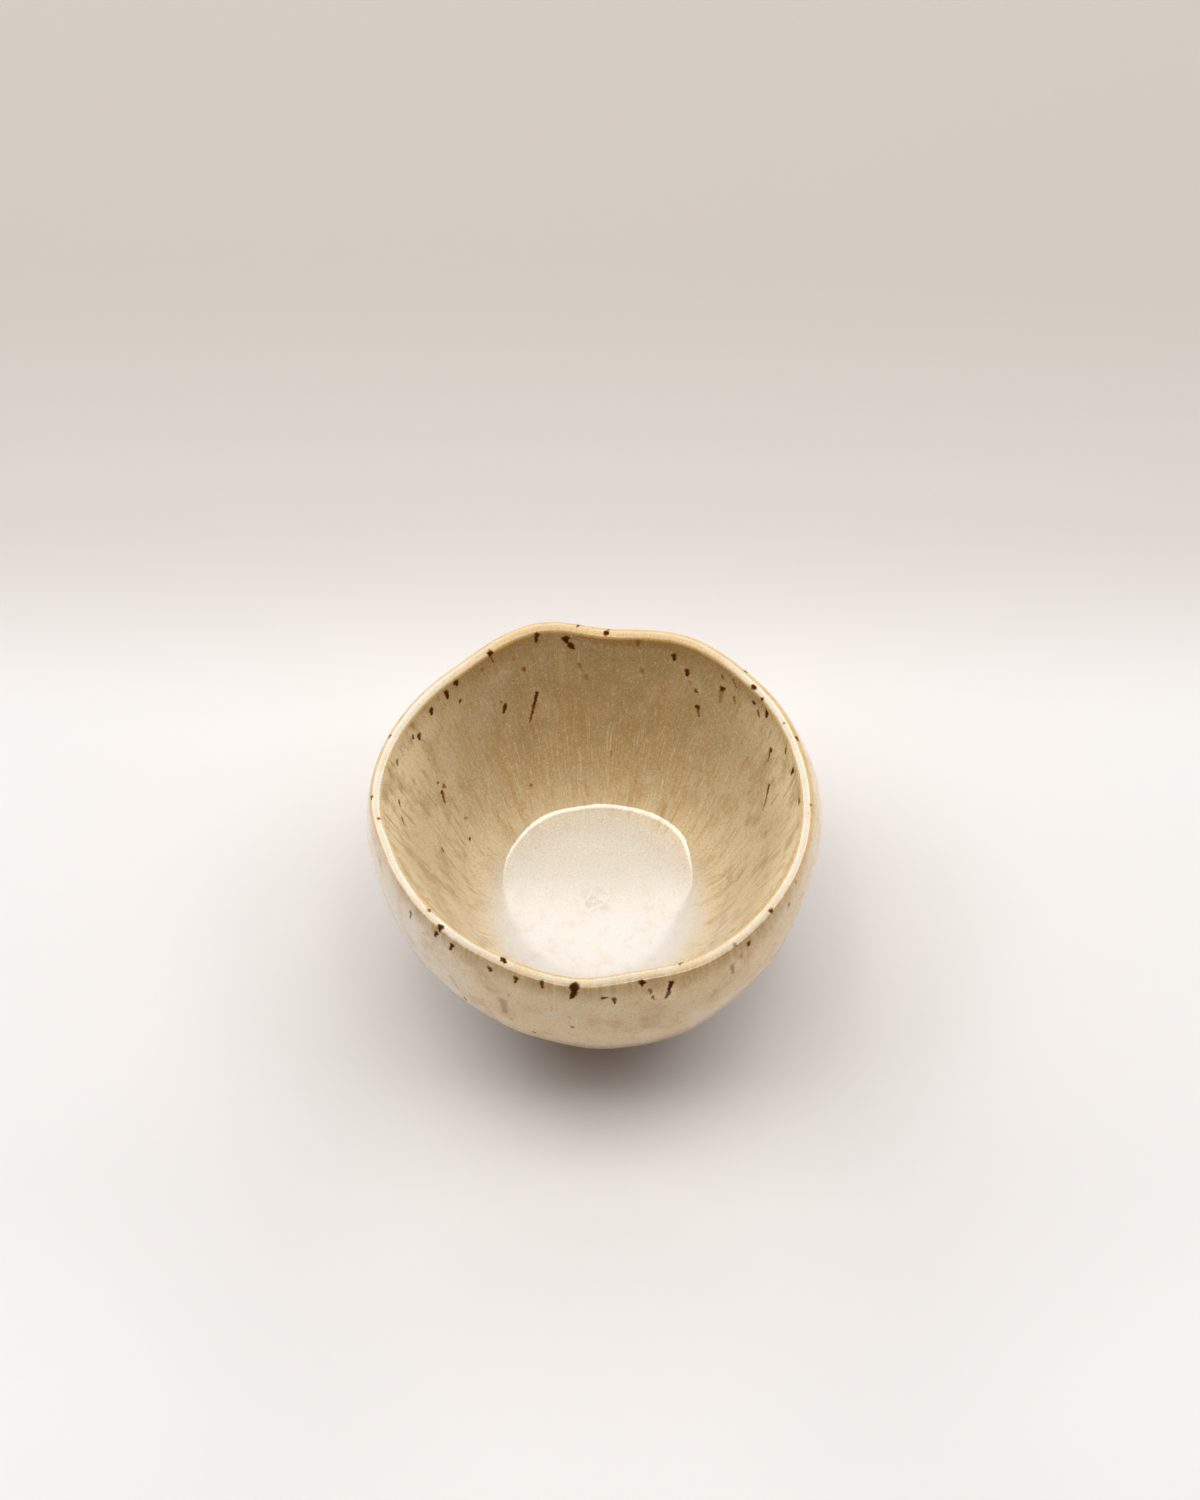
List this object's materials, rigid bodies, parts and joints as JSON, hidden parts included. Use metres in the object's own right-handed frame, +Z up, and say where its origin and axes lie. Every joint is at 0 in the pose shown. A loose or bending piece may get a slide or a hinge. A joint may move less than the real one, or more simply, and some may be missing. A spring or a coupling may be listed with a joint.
{
  "type": "tea cup",
  "caption": "Low hand-pinched tea cup: a round open bowl with a wavy lip on a plain foot ring, in speckled cream glaze; holds a hot drink.",
  "frame": {"origin": "middle of the foot ring, on the surface that the cup stands on", "axes": "+Z up through the mouth; +Y towards the dip in the lip that the picture shows at the far side; +X to the right"},
  "size_m": [0.0893, 0.0889, 0.0536],
  "materials": {
    "stoneware": "bare, toasted by the kiln, speckled with iron",
    "cream_glaze": "glossy cream, streaked and mottled, breaking amber at the lip, with iron spots"
  },
  "bodies": {
    "root": {"clay_body": "stoneware", "foot_ring": "stoneware", "inside_glaze": "cream_glaze", "lip_glaze": "cream_glaze", "outside_glaze": "cream_glaze"}
  },
  "joints": []
}
